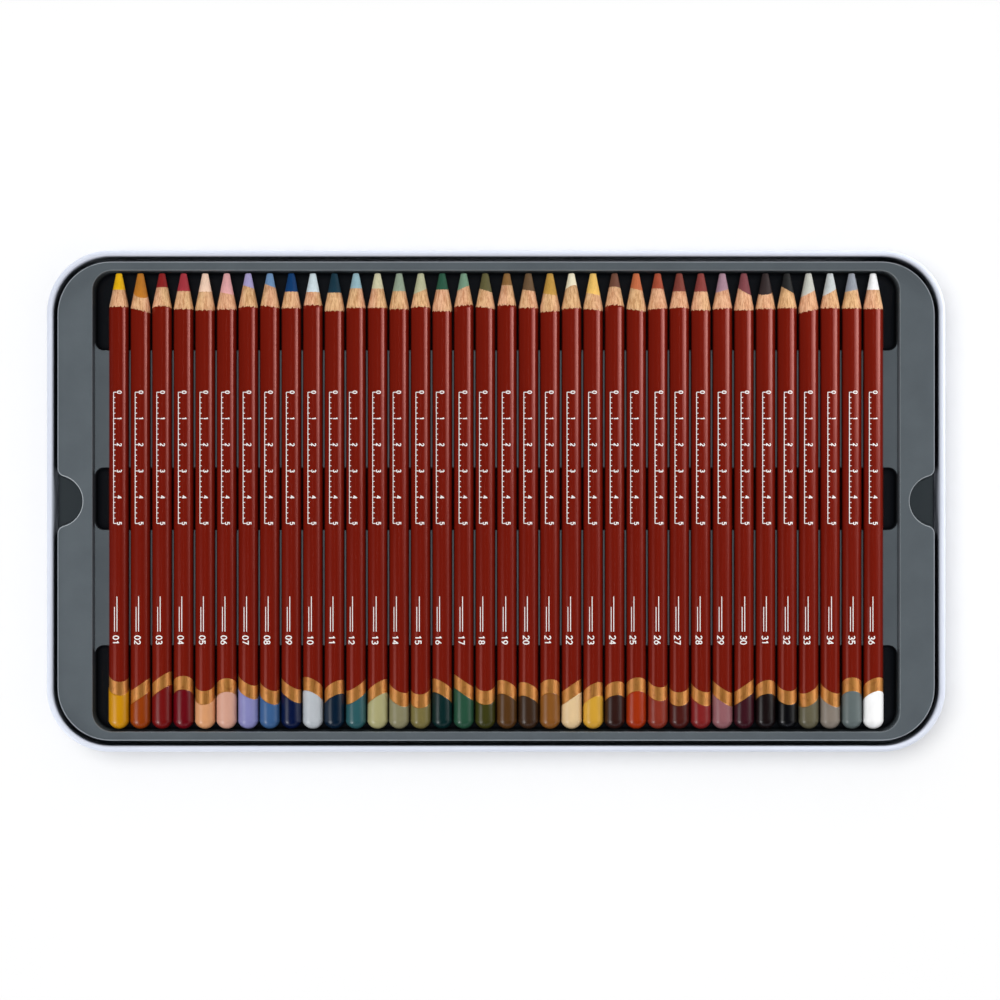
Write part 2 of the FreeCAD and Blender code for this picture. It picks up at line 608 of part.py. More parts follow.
def make_core():
    """A pencil's colour core about the Y axis: a rod, tapered with the casing and blunt at its point."""
    body = new_body("core")
    sketch = new_sketch(body, "core_profile")
    half = number("Sizes.pencil_length") / 2
    gap = number("Sizes.core_glue_gap")
    rod = number("Sizes.core_diameter") / 2 - gap
    tip = number("Sizes.point_diameter") / 2
    rounding = number("Sizes.point_round")
    slope = number(CONE_SLOPE)
    taper_start = half - (rod - tip) / slope
    base_level = number("Sizes.dome_height") + gap - half
    base = line(sketch, (0, base_level), (rod, base_level))
    side = line(sketch, (rod, base_level), (rod, taper_start))
    cone = line(sketch, (rod, taper_start), (tip + rounding * slope, half - rounding))
    bevel = line(sketch, (tip + rounding * slope, half - rounding), (tip - rounding, half))
    flat = line(sketch, (tip - rounding, half), (0, half))
    axis = line(sketch, (0, half), (0, base_level))
    loop = [base, side, cone, bevel, flat, axis]
    for this, following in zip(loop, loop[1:] + loop[:1]):
        tie(sketch, "Coincident", this, 2, following, 1)
    for level in (base, flat):
        tie(sketch, "Horizontal", level)
    tie(sketch, "Vertical", side)
    tie(sketch, "PointOnObject", axis, 1, -2)
    tie(sketch, "PointOnObject", axis, 2, -2)
    rod_radius = "Sizes.core_diameter / 2 - Sizes.core_glue_gap"
    tip_radius = "Sizes.point_diameter / 2"
    drive(sketch, "rod", rod_radius, "DistanceX", base, 1, base, 2)
    base_depth = "Sizes.pencil_length / 2 - Sizes.dome_height - Sizes.core_glue_gap"
    drive(sketch, "base", base_depth, "DistanceY", axis, 2, -1, 1)
    taper_height = f"Sizes.pencil_length / 2 - ({rod_radius} - {tip_radius}) / {CONE_SLOPE}"
    drive(sketch, "taper_start", taper_height, "DistanceY", -1, 1, cone, 1)
    bevel_radius = f"{tip_radius} + Sizes.point_round * {CONE_SLOPE}"
    drive(sketch, "bevel_width", bevel_radius, "DistanceX", -1, 1, cone, 2)
    drive(sketch, "flat", f"{tip_radius} - Sizes.point_round", "DistanceX", flat, 2, flat, 1)
    drive(sketch, "bevel_height", "Sizes.point_round", "DistanceY", cone, 2, flat, 2)
    drive(sketch, "tip", "Sizes.pencil_length / 2", "DistanceY", -1, 1, flat, 2)
    turn_about_y(body, sketch, "core_turned")
    return body


def turn_about_y(body, sketch, name):
    """Turns a half profile fully about the sketch's upright axis."""
    turned = body.newObject("PartDesign::Revolution", name)
    turned.Profile = sketch
    turned.ReferenceAxis = (sketch, ["V_Axis"])
    turned.Angle = 360
    doc.recompute()
    return turned


def make_pencils(casing, core):
    """The row of pencils, each a casing and its core, lying in the cradles from left to right."""
    pencils = []
    for place in range(int(SIZES["pencil_count"])):
        pencil = doc.addObject("Part::Compound", f"pencil_{place + 1:02d}")
        pencil.Label = pencil.Name
        pencil.Links = [casing, core]
        pencil.setExpression("Placement.Base.x", f"{place} * {PENCIL_PITCH} - {FIRST_TO_LAST} / 2")
        pencil.setExpression("Placement.Base.z", f"Sizes.tin_plate + {CRADLE_AXIS_HEIGHT}")
        pencils.append(pencil)
    doc.recompute()
    return pencils


def check_built():
    """Stops if any object of the document failed to build."""
    for item in doc.Objects:
        if "Invalid" in item.State or "Error" in item.State:
            raise RuntimeError(f"{item.Name} failed: {item.State}")


def write_parts(parts):
    os.makedirs("parts", exist_ok=True)
    for part in parts:
        shape = part.Shape
        if shape.isNull() or not shape.isValid() or not shape.Solids:
            raise RuntimeError(f"{part.Label} has no valid solid")
        print(part.Label, len(shape.Solids), "solids,", round(shape.Volume, 1), "cubic millimetres")
        shape.exportStep(f"parts/{part.Label}.step")


def main():
    tin = make_tin()
    tray = make_tray()
    pencils = make_pencils(make_casing(), make_core())
    doc.recompute()
    check_built()
    write_parts([tin, tray, *pencils])


main()
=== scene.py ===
"""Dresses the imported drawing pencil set: a pale rolled-rim tin, a grey lift-out tray and 36 round pencils.

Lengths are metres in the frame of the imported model: +X runs across the pencils, +Y along them
towards their points and +Z up, and the origin lies under the middle of the tin.
"""

import math
from collections import namedtuple

import bpy
import numpy as np
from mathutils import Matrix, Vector


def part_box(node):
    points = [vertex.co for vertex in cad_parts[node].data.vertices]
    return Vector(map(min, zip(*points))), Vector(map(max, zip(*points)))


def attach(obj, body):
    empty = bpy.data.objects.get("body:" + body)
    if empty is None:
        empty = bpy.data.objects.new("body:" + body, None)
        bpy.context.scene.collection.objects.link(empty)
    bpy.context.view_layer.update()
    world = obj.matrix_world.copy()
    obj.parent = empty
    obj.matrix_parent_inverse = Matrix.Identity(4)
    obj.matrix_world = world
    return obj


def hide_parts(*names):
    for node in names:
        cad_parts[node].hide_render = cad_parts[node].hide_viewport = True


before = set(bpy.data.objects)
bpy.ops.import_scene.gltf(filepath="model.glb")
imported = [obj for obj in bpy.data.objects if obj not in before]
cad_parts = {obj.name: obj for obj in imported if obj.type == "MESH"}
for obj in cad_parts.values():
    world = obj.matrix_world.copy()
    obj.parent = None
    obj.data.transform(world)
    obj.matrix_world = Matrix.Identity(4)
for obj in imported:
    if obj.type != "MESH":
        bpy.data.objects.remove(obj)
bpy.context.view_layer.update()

MM = 0.001

# The camera, which looks straight down: its distance and the width of its view at the level of the pencils
CAMERA_DISTANCE = 1.5
FRAME_WIDTH = 0.382
CAMERA_X = 1.49 * MM
CAMERA_Y = 0.42 * MM
PENCIL_LEVEL = 10.65 * MM
SENSOR_WIDTH = 36.0

# The floor and the faint light of the backdrop
FLOOR_HALF = 6.0
FLOOR_DROP = 0.2 * MM
FLOOR_GLOW = 0.02
WORLD_LEVEL = 0.02

# The finishes of a pencil, in the order of its material slots
CORE, WOOD, LACQUER, FOIL, DIP, INK = range(6)

# The sizes of a pencil, which are those of its solids
BARREL_RADIUS = 3.825 * MM
DIP_COAT = 0.13 * MM
TIP_RADIUS = 1.1 * MM
TIP_ROUND = 0.5 * MM
POINT_LENGTH = 13.3 * MM
DOME_HEIGHT = 3.0 * MM

# What is drawn finer than the solids: a faint hollow in the tip, the depth of the chips where core and wood
# end, the dip's soft edge as (mm past the band, share of the coat), and the points of a ring
TIP_DISH = 0.05 * MM
CORE_CHIPS = 0.13 * MM
WOOD_CHIPS = 0.42 * MM
DIP_SWELL = ((0.03, 0.45), (0.09, 0.78), (0.2, 0.95), (0.4, 1.0))
DIP_EDGE = DIP_SWELL[-1][0] * MM
COLUMNS = 96

# The metallic band is a slanted ring: its edge swings by this much as it goes round the barrel
BAND_START = 156.8 * MM
BAND_SWING = 2.6 * MM
BAND_WIDTH = 5.2 * MM

# The tin's section, which is that of its solid
PLATE = 0.3 * MM
RIM_RADIUS = 1.05 * MM
RIM_TURN = math.radians(300)
TIN_CORNER = 24.0 * MM
TIN_EDGE_RADIUS = 1.0 * MM

# Where the tin's flats and walls have rings of points, and how fast the painted shade inside it darkens its
# coat with depth
FLAT_RINGS = (0.4 * MM, 3.0 * MM)
WALL_RINGS = (0.3, 0.7)
PAINTED_SHADE_SLOPE = 1.6

# Painted shade on the tray's sheet: it darkens from one height down to another, most of all within these
# distances of the middle
SHADE_END_X = 155 * MM
SHADE_END_Y = 89 * MM
SHADE_FADE = 1 * MM
SHADE_TOP = 8.2 * MM
SHADE_FOOT = 4.5 * MM

# How far below the flange's top the painted highlight on its lips starts and reaches its full tone
LIP_START = 0.5 * MM
LIP_FULL = 0.35 * MM

# The grid on which the tray's corners are joined, and the angle from which its edges stay sharp
JOIN_GRID = 1e-6
SHARP_ANGLE = math.radians(32)

# The printed rule and number: places along the pencil from its point and across it, heights and line widths.
# Ticks are a number of mm apart, the number is rolled by degrees, and the pitch and the middle of a digit
# are shares of its height. The two fine lines by the number are given by their far end and height in mm
RULE_START = 45.5 * MM
RULE_CENTIMETRES = 5
RULE_FOOT = -1.5 * MM
RULE_DIGIT = 1.6 * MM
TICK_STEP = 2
LONG_TICK = 1.2 * MM
SHORT_TICK = 0.75 * MM
NUMBER_END = 142.0 * MM
NUMBER_DIGIT = 2.3 * MM
NUMBER_ROLL = 9
DIGIT_PITCH = 0.8
DIGIT_MIDDLE = 0.3
FINE_LINES = ((15, 0.5), (11, -0.5))
FINE_GAP = 1.6 * MM
MITRE_FLOOR = 0.6
THIN_LINE = 0.3 * MM
BOLD_LINE = 0.36 * MM
NUMBER_LINE = 1.15 * BOLD_LINE
INK_LIFT = 0.012 * MM

# One pencil: a plain name for the reader, its colours in 8-bit sRGB, how far its band is rolled from the top
# in degrees and pushed along in mm, how far its print is rolled, and where core and bare wood end, in mm from
# the point at the left, middle and right
Look = namedtuple("Look", "shade dip core band_roll band_push print_roll core_edge wood_edge")


def even(length):
    """The same length at the left, in the middle and at the right."""
    return (length, length, length)


LOOKS = [
    Look("straw", (195, 135, 6), (240, 185, 20), 10, -3.5, -5, even(6.4), even(12.9)),
    Look("amber", (140, 55, 2), (190, 120, 40), -85, 0, -5, (7.2, 9.4, 8.6), (13.4, 14.2, 15.3)),
    Look("rust_red", (110, 11, 11), (145, 35, 35), -110, -2.2, -5, (5.6, 5.4, 5.4), (13.7, 12.6, 13.7)),
    Look("wine", (100, 2, 15), (170, 55, 65), 180, -0.6, -5, even(6.9), even(13.8)),
    Look("peach", (210, 150, 105), (250, 215, 190), -5, 0, -5, even(7.1), even(14.2)),
    Look("rose", (205, 155, 135), (230, 170, 170), -175, 0.3, -5, (7.2, 7.8, 8.3), even(13.9)),
    Look("lilac", (130, 130, 180), (175, 165, 210), 45, -2, -5, (4.6, 5.2, 5.9), (13.6, 12.8, 13.6)),
    Look("steel_blue", (55, 90, 135), (115, 150, 190), 35, 0, -5, (4.0, 4.8, 5.6), (12.3, 12.8, 13.4)),
    Look("navy", (0, 15, 55), (15, 60, 110), 60, -0.5, -5, even(7.1), even(13.4)),
    Look("pale_blue", (180, 185, 190), (215, 230, 235), 135, -0.2, -5, even(7.2), even(12.3)),
    Look("ink_blue", (3, 25, 45), (25, 55, 70), -135, 1, -5, even(7.5), even(14.5)),
    Look("teal", (40, 85, 90), (155, 190, 200), -65, 0, -17, even(5.8), even(13.3)),
    Look("sage", (165, 160, 115), (215, 210, 175), -120, 0.7, -5, even(5.9), even(13.3)),
    Look("lichen", (130, 125, 95), (150, 165, 145), 40, 0.8, -13, even(6.9), even(13.8)),
    Look("moss", (115, 105, 60), (190, 190, 155), -5, 1.3, -5, (8.0, 7.0, 5.9), (13.5, 12.9, 13.5)),
    Look("bottle_green", (3, 35, 35), (45, 90, 70), 125, 0.5, -13, even(6.3), even(14.6)),
    Look("leaf_green", (35, 75, 55), (120, 155, 130), 90, -1.3, -5, (6.7, 5.6, 4.7), (12.9, 12.4, 12.1)),
    Look("olive", (55, 55, 15), (100, 95, 60), 0, 0, -13, (5.9, 6.6, 7.4), (12.9, 13.2, 13.7)),
    Look("bronze", (80, 50, 20), (145, 105, 60), 145, 1, -5, even(4.6), even(12.3)),
    Look("walnut", (55, 35, 20), (110, 85, 60), 145, 1.8, -5, (6.2, 6.6, 6.9), even(13.3)),
    Look("honey", (130, 80, 30), (195, 150, 70), -175, 0.7, -5, (7.5, 8.2, 8.3), (15.0, 14.7, 14.5)),
    Look("ivory", (220, 190, 145), (245, 235, 205), -95, 0.5, -5, (6.7, 4.8, 5.1), (13.8, 13.5, 13.3)),
    Look("maize", (205, 155, 50), (240, 195, 105), -140, 1.8, -5, (7.5, 8.0, 8.6), (13.7, 14.0, 14.5)),
    Look("umber", (45, 20, 15), (115, 75, 60), -165, 1.5, -5, (5.6, 5.2, 5.9), (13.0, 12.2, 13.1)),
    Look("tangerine", (155, 45, 6), (200, 110, 70), -170, 0, -13, (5.6, 6.2, 6.7), (13.7, 14.2, 14.7)),
    Look("brick", (130, 45, 30), (170, 80, 55), 15, -1.4, 5, (5.9, 5.9, 6.2), (13.9, 13.7, 13.4)),
    Look("chestnut", (70, 20, 15), (130, 65, 55), -5, 0.5, -5, even(7.0), (13.7, 13.2, 13.7)),
    Look("cherry", (125, 30, 30), (140, 65, 60), 35, 0.5, -5, even(7.1), even(14.2)),
    Look("mauve", (140, 90, 95), (170, 135, 150), 70, 0.8, -5, (7.4, 6.8, 6.0), (13.9, 13.6, 13.4)),
    Look("plum", (55, 15, 25), (130, 70, 75), -90, 0.5, 3, (5.6, 7.2, 8.5), even(14.2)),
    Look("soot", (20, 9, 10), (55, 45, 45), -165, 1, 3, (7.8, 8.3, 7.2), even(13.7)),
    Look("black", (3, 3, 6), (40, 40, 40), 10, 0, 3, (5.1, 6.4, 7.8), even(13.4)),
    Look("stone", (95, 90, 70), (200, 200, 190), -40, 1, -5, (9.1, 7.8, 6.4), (15.3, 14.5, 13.7)),
    Look("ash", (130, 120, 110), (200, 205, 205), 45, 1, 5, (8.8, 7.4, 5.9), even(13.4)),
    Look("slate", (95, 105, 105), (150, 155, 165), 180, 0, 5, (7.2, 6.7, 6.2), even(13.5)),
    Look("white", (250, 250, 250), (250, 250, 250), -150, 0, -5, even(6.4), even(13.7)),
]


class Wire:
    """A socket of a node tree. Arithmetic on values adds Math nodes, and node() adds any other node."""

    def __init__(self, tree, socket=None):
        self.tree = tree
        self.socket = socket

    def node(self, kind, settings=(), sockets=(), out=0):
        """Adds a node, sets its settings, fills its sockets with values or links, and gives an output."""
        made = self.tree.nodes.new("ShaderNode" + kind)
        for name, value in dict(settings).items():
            setattr(made, name, value)
        for name, value in dict(sockets).items():
            if isinstance(value, Wire):
                self.tree.links.new(value.socket, made.inputs[name])
            else:
                made.inputs[name].default_value = value
        return Wire(self.tree, made.outputs[out] if len(made.outputs) else None)

    def math(self, operation, *values):
        """One Math node over values or links."""
        return self.node("Math", {"operation": operation}, enumerate(values))

    def __add__(self, other):
        return self.math("ADD", self, other)

    def __radd__(self, other):
        return self.math("ADD", other, self)

    def __sub__(self, other):
        return self.math("SUBTRACT", self, other)

    def __rsub__(self, other):
        return self.math("SUBTRACT", other, self)

    def __mul__(self, other):
        return self.math("MULTIPLY", self, other)

    def __rmul__(self, other):
        return self.math("MULTIPLY", other, self)

    def noise(self, size, detail=3.0, roughness=0.55):
        """Noise between 0 and 1 whose grain has the given size along X, Y and Z, on Object coordinates."""
        places = self.node("TexCoord", out="Object")
        scale = tuple(1.0 / length for length in size)
        turned = self.node("Mapping", {"vector_type": "POINT"}, {"Vector": places, "Scale": scale})
        return self.node(
            "TexNoise", (), {"Vector": turned, "Scale": 1.0, "Detail": detail, "Roughness": roughness}
        )

    def spread(self, low, high):
        """This value with low to high stretched over 0 to 1 and cut off beyond."""
        return self.node("MapRange", {"clamp": True}, {"Value": self, "From Min": low, "From Max": high})

    def mix(self, first, second):
        """A colour that runs from first to second as this value runs from 0 to 1."""
        return self.node("Mix", {"data_type": "RGBA"}, {0: self, 6: first, 7: second}, out=2)

    def tint(self, first, second):
        """first multiplied by second, channel by channel, as much as this value says."""
        settings = {"data_type": "RGBA", "blend_type": "MULTIPLY"}
        return self.node("Mix", settings, {0: self, 6: first, 7: second}, out=2)

    def bump(self, depth, strength=1.0, normal=None):
        """A normal raised by this height, whose full range is depth."""
        sockets = {"Strength": strength, "Distance": depth, "Height": self}
        if normal is not None:
            sockets["Normal"] = normal
        return self.node("Bump", (), sockets)


def linear(colour):
    """Linear RGBA of an 8-bit sRGB colour."""
    part = np.asarray(colour, float) / 255
    light = np.where(part <= 0.04045, part / 12.92, ((part + 0.055) / 1.055) ** 2.4)
    return (*light.tolist(), 1.0)


def new_material(name):
    """An empty material and the wire that its nodes start from."""
    material = bpy.data.materials.new(name)
    material.use_nodes = True
    material.node_tree.nodes.clear()
    return material, Wire(material.node_tree)


def surface(start, **sockets):
    """Ends a material in one Principled shader. Underscores stand for the spaces in a socket's name."""
    named = {name.replace("_", " "): value for name, value in sockets.items()}
    shader = start.node("BsdfPrincipled", (), named)
    start.node("OutputMaterial", (), {"Surface": shader})


def brick_red_lacquer():
    """Several thin coats of glossy lacquer: faint streaks along the barrel and a slight orange peel."""
    material, start = new_material("brick_red_lacquer")
    streaks = start.noise((0.5 * MM, 30 * MM, 0.5 * MM))
    clouds = start.noise((9 * MM, 40 * MM, 9 * MM), detail=2.0)
    red = streaks.spread(0.3, 0.7).mix((0.142, 0.0072, 0.0026, 1), (0.168, 0.0092, 0.0036, 1))
    coat = clouds.spread(0.3, 0.7).mix(red, (0.152, 0.0078, 0.0030, 1))
    peel = start.noise((0.35 * MM, 1.6 * MM, 0.35 * MM), detail=2.0)
    surface(
        start,
        Base_Color=coat,
        Roughness=0.17 + 0.08 * streaks,
        Normal=peel.bump(0.008 * MM),
        Specular_Tint=(1.0, 0.45, 0.40, 1),
        IOR=1.55,
    )
    return material


def copper_foil():
    """Hot-stamped metallic foil, brushed along the barrel, a little dull where it is worn."""
    material, start = new_material("copper_foil")
    brushed = start.noise((0.16 * MM, 9 * MM, 0.16 * MM), detail=4.0)
    worn = start.noise((1.6 * MM, 2.2 * MM, 1.6 * MM))
    bright = brushed.spread(0.3, 0.7).mix((0.51, 0.168, 0.021, 1), (0.80, 0.365, 0.078, 1))
    foil = worn.spread(0.55, 0.75).mix(bright, (0.48, 0.152, 0.020, 1))
    surface(
        start,
        Base_Color=foil,
        Coat_Weight=1.0,
        Coat_Roughness=0.38,
        Metallic=0.7,
        Roughness=0.42 + 0.12 * brushed,
        Normal=brushed.bump(0.006 * MM),
    )
    return material


def dip_paint():
    """The coloured paint of a dipped end: thick, glossy and slightly uneven in depth."""
    material, start = new_material("dip_paint")
    pigment = start.node("Attribute", {"attribute_name": "pigment"}, out="Color")
    depth = start.noise((2.5 * MM, 6 * MM, 2.5 * MM), detail=2.0)
    paint = depth.spread(0.25, 0.75).tint(pigment, (0.92, 0.92, 0.92, 1))
    surface(
        start,
        Base_Color=paint,
        Roughness=0.27 + 0.08 * depth,
        IOR=1.52,
        Normal=depth.bump(0.03 * MM, 0.5),
    )
    return material


def colour_core():
    """The sharpened core: bound pigment with fine facets and streaks from the blade."""
    material, start = new_material("colour_core")
    pigment = start.node("Attribute", {"attribute_name": "pigment"}, out="Color")
    streaks = start.noise((0.25 * MM, 5 * MM, 0.25 * MM), detail=4.0)
    grains = start.noise((0.3 * MM, 0.3 * MM, 0.3 * MM), detail=2.0)
    cut = streaks.spread(0.45, 0.75).tint(pigment, (0.82, 0.82, 0.82, 1))
    dusty = grains.spread(0.62, 0.80).tint(cut, (0.86, 0.86, 0.86, 1))
    surface(
        start,
        Base_Color=dusty,
        Roughness=0.50 + 0.25 * grains,
        Normal=(0.7 * streaks + 0.3 * grains).bump(0.05 * MM, 0.6),
        Specular_IOR_Level=0.25,
    )
    return material


def cut_cedar():
    """Cedar cut by a sharpener: long darker grain lines, short pores, and a tone that differs by pencil."""
    material, start = new_material("cut_cedar")
    tone = start.noise((7 * MM, 60 * MM, 60 * MM), detail=0.0)
    grain = start.noise((0.55 * MM, 14 * MM, 0.55 * MM), detail=5.0, roughness=0.65)
    pores = start.noise((0.16 * MM, 2.4 * MM, 0.16 * MM), detail=2.0)
    pale = tone.spread(0.35, 0.65).mix((0.73, 0.460, 0.242, 1), (0.745, 0.430, 0.262, 1))
    dark = tone.spread(0.35, 0.65).mix((0.47, 0.240, 0.100, 1), (0.51, 0.225, 0.112, 1))
    lines = grain.spread(0.42, 0.62).mix(pale, dark)
    wood = (0.6 * pores.spread(0.58, 0.72)).mix(lines, (0.33, 0.135, 0.050, 1))
    surface(
        start,
        Base_Color=wood,
        Roughness=0.62 + 0.15 * pores,
        Normal=(0.6 * grain + 0.4 * pores).bump(0.08 * MM, 0.7),
        Specular_IOR_Level=0.25,
    )
    return material


def white_ink():
    """The white of the printed rule and numbers, a little thin in places so that the red comes through."""
    material, start = new_material("white_ink")
    cover = start.noise((0.25 * MM, 0.25 * MM, 0.25 * MM), detail=2.0)
    ink = cover.spread(0.60, 0.90).mix((0.86, 0.84, 0.82, 1), (0.66, 0.52, 0.49, 1))
    surface(start, Base_Color=ink, Roughness=0.40 + 0.15 * cover)
    return material


def grey_tray_sheet():
    """Thermoformed satin sheet: fine matt grain and faint clouds in the grey.

    Painted shade makes the wells near-black and the lower sheet outside the recess dark grey, and a painted
    highlight makes the rounded lips of the flange paler.
    """
    material, start = new_material("grey_tray_sheet")
    clouds = start.noise((14 * MM, 14 * MM, 14 * MM), detail=3.0)
    grain = start.noise((0.22 * MM, 0.22 * MM, 0.22 * MM), detail=2.0)
    rounded = start.node("Bevel", {"samples": 6}, {"Radius": 0.35 * MM})
    grey = clouds.spread(0.3, 0.7).mix((0.093, 0.110, 0.123, 1), (0.106, 0.125, 0.139, 1))
    speckled = grain.spread(0.3, 0.7).tint(grey, (0.93, 0.93, 0.93, 1))
    places = start.node("TexCoord", out="Object")
    across, along, height = (
        start.node("SeparateXYZ", (), {"Vector": places}, out=axis) for axis in range(3)
    )
    between = across.math("ABSOLUTE", across).spread(SHADE_END_X + SHADE_FADE, SHADE_END_X)
    within = along.math("ABSOLUTE", along).spread(SHADE_END_Y + SHADE_FADE, SHADE_END_Y)
    inside = between * within
    # Painted shade: near-black in the wells, dark grey low down outside the recess
    painted_shade = inside.mix((0.034, 0.042, 0.047, 1), (0.006, 0.007, 0.009, 1))
    sheet = height.spread(SHADE_TOP, SHADE_FOOT).mix(speckled, painted_shade)
    flange_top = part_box("pencil_tray")[1].z
    normal = start.node("NewGeometry", out="Normal")
    upright = start.node("SeparateXYZ", (), {"Vector": normal}, out="Z")
    # Painted highlight: the flange's rounded lips are paler, less so on the inner lips
    lip = upright.spread(0.97, 0.85) * height.spread(flange_top - LIP_START, flange_top - LIP_FULL)
    painted_lip_highlight = (lip * (1.0 - 0.8 * inside)).mix(sheet, (0.38, 0.41, 0.43, 1))
    surface(
        start,
        Base_Color=painted_lip_highlight,
        Roughness=0.30 + 0.10 * grain,
        Normal=grain.bump(0.004 * MM, 0.6, rounded),
        Specular_IOR_Level=0.6,
    )
    return material


def pale_tin_lacquer():
    """Pale, faintly blue lacquer on tinplate: soft mottling, orange peel, and painted shade that darkens it
    deep inside.
    """
    material, start = new_material("pale_tin_lacquer")
    clouds = start.noise((18 * MM, 18 * MM, 18 * MM), detail=2.0)
    peel = start.noise((2.5 * MM, 2.5 * MM, 2.5 * MM), detail=1.0)
    pale = clouds.spread(0.3, 0.7).mix((0.705, 0.745, 0.855, 1), (0.730, 0.770, 0.875, 1))
    painted_deep_shade = start.node("Attribute", {"attribute_name": "painted_deep_shade"}, out="Fac")
    # Painted shade: the tin's floor and lower inner wall darken towards the bottom
    coat = painted_deep_shade.mix(pale, (0.380, 0.405, 0.465, 1))
    surface(
        start,
        Base_Color=coat,
        Roughness=0.26 + 0.10 * peel,
        Normal=peel.bump(0.006 * MM, 0.5),
    )
    return material


def make_piece(name, places, faces, materials, face_material=None):
    """A smooth mesh object at the origin from places and faces, with a material for each face."""
    mesh = bpy.data.meshes.new(name)
    mesh.from_pydata(places, [], faces)
    for material in materials:
        mesh.materials.append(material)
    if face_material is not None:
        mesh.polygons.foreach_set("material_index", np.asarray(face_material, np.int32))
    mesh.polygons.foreach_set("use_smooth", np.full(len(mesh.polygons), True))
    mesh.update()
    piece = bpy.data.objects.new(name, mesh)
    bpy.context.scene.collection.objects.link(piece)
    return piece


def ring_faces(rows, columns, first=0):
    """Quads between rows of a closed ring grid: (row, column) to the next row, then to the next column."""
    row, column = np.meshgrid(np.arange(rows - 1), np.arange(columns), indexing="ij")
    after = (column + 1) % columns
    here, beyond = row * columns, (row + 1) * columns
    corners = np.stack([here + column, beyond + column, beyond + after, here + after], axis=-1)
    return first + corners.reshape(-1, 4)


def edge_round(angle, left_middle_right):
    """Length at each angle of an edge with the given lengths at the left, on top and at the right.

    It is that of a slanted cut: mean + slant * sin(angle) + droop * cos(angle).
    """
    left, middle, right = (length * MM for length in left_middle_right)
    mean = (left + right) / 2
    return mean + (right - left) / 2 * np.sin(angle) + (middle - mean) * np.cos(angle)


def chips(angle, seed, depth, waves):
    """A ragged line round the barrel, drawn with a seed.

    It is depth * (total - mean), where total sums height * |sin(wave * angle / 2 + phase)| over the waves.
    """
    draw = np.random.default_rng(seed)
    total = np.zeros_like(angle)
    for wave in waves:
        height = draw.uniform(0.5, 1.0)
        phase = draw.uniform(0, 2 * np.pi)
        total = total + height * np.abs(np.sin(wave * angle / 2 + phase))
    return depth * (total - total.mean())


def point_radius(along):
    """Radius of the sharpened cone at a distance from the point, no wider than the barrel."""
    return np.minimum(BARREL_RADIUS, TIP_RADIUS + (BARREL_RADIUS - TIP_RADIUS) * along / POINT_LENGTH)


def pencil_rows(look, number, length):
    """Rings of one pencil from point to end as (distance along, radius, finish) rows over the angle.

    The blunt tip is faintly hollow round its middle and rounded by an arc. Core and wood lie on one cone.
    The barrel is a cylinder whose band edges swing as place + swing * cos(angle - roll). The dip swells by
    its coat, and the end is a spherical cap.
    """
    angle = np.arange(COLUMNS) * 2 * np.pi / COLUMNS
    ones = np.ones(COLUMNS)
    slope = math.atan((BARREL_RADIUS - TIP_RADIUS) / POINT_LENGTH)
    arc_middle = TIP_RADIUS + TIP_ROUND * math.tan(slope) - TIP_ROUND / math.cos(slope)
    rows = [(TIP_DISH * (1 - part) * ones, arc_middle * part * ones, CORE) for part in (0.35, 0.7)]
    for turn in np.linspace(0, math.pi / 2 - slope, 6):
        along = TIP_ROUND * (1 - math.cos(turn))
        rows.append((along * ones, (arc_middle + TIP_ROUND * math.sin(turn)) * ones, CORE))
    start = rows[-1][0]
    core_end = edge_round(angle, look.core_edge) + chips(angle, number, CORE_CHIPS, (9, 15, 26))
    wood_end = edge_round(angle, look.wood_edge) + chips(angle, 100 + number, WOOD_CHIPS, (11, 17, 28, 41))
    for part in np.linspace(0, 1, 7)[1:]:
        along = start + part * (core_end - start)
        rows.append((along, point_radius(along), WOOD if part == 1 else CORE))
    for part in np.linspace(0, 1, 11)[1:]:
        along = core_end + part * (wood_end - core_end)
        rows.append((along, point_radius(along), LACQUER if part == 1 else WOOD))
    band_place = BAND_START + look.band_push * MM
    band_start = band_place + BAND_SWING * np.cos(angle - math.radians(look.band_roll))
    for part in (0.002, 0.005, 0.01, 0.02, 0.06, 0.2, 0.4, 0.6, 0.8, 1.0):
        along = wood_end + part * (band_start - wood_end)
        rows.append((along, point_radius(along), FOIL if part == 1 else LACQUER))
    for part in (0.04, 0.5, 0.96, 1.0):
        rows.append((band_start + part * BAND_WIDTH, BARREL_RADIUS * ones, DIP if part == 1 else FOIL))
    dip_start = band_start + BAND_WIDTH
    for step, swell in DIP_SWELL:
        rows.append((dip_start + step * MM, BARREL_RADIUS + swell * DIP_COAT * ones, DIP))
    dip_radius = BARREL_RADIUS + DIP_COAT
    cap_radius = (dip_radius**2 + DOME_HEIGHT**2) / (2 * DOME_HEIGHT)
    widest = math.asin(dip_radius / cap_radius)
    shoulder = length - DOME_HEIGHT
    for part in (0.4, 0.8, 0.95):
        along = dip_start + DIP_EDGE + part * (shoulder - dip_start - DIP_EDGE)
        rows.append((along, dip_radius * ones, DIP))
    for turn in np.linspace(widest, 0, 12)[:-1]:
        along = length - cap_radius * (1 - math.cos(turn))
        rows.append((along * ones, cap_radius * math.sin(turn) * ones, DIP))
    return angle, rows


def arc(middle, radii, start, end, points=12):
    """Points on an ellipse from one angle to another, in degrees."""
    turn = np.radians(np.linspace(start, end, points))
    return np.c_[middle[0] + radii[0] * np.cos(turn), middle[1] + radii[1] * np.sin(turn)]


SIX = np.vstack([[(0.47, 1.0), (0.17, 0.68)], arc((0.3, 0.31), (0.28, 0.31), 160, 520, 20)])
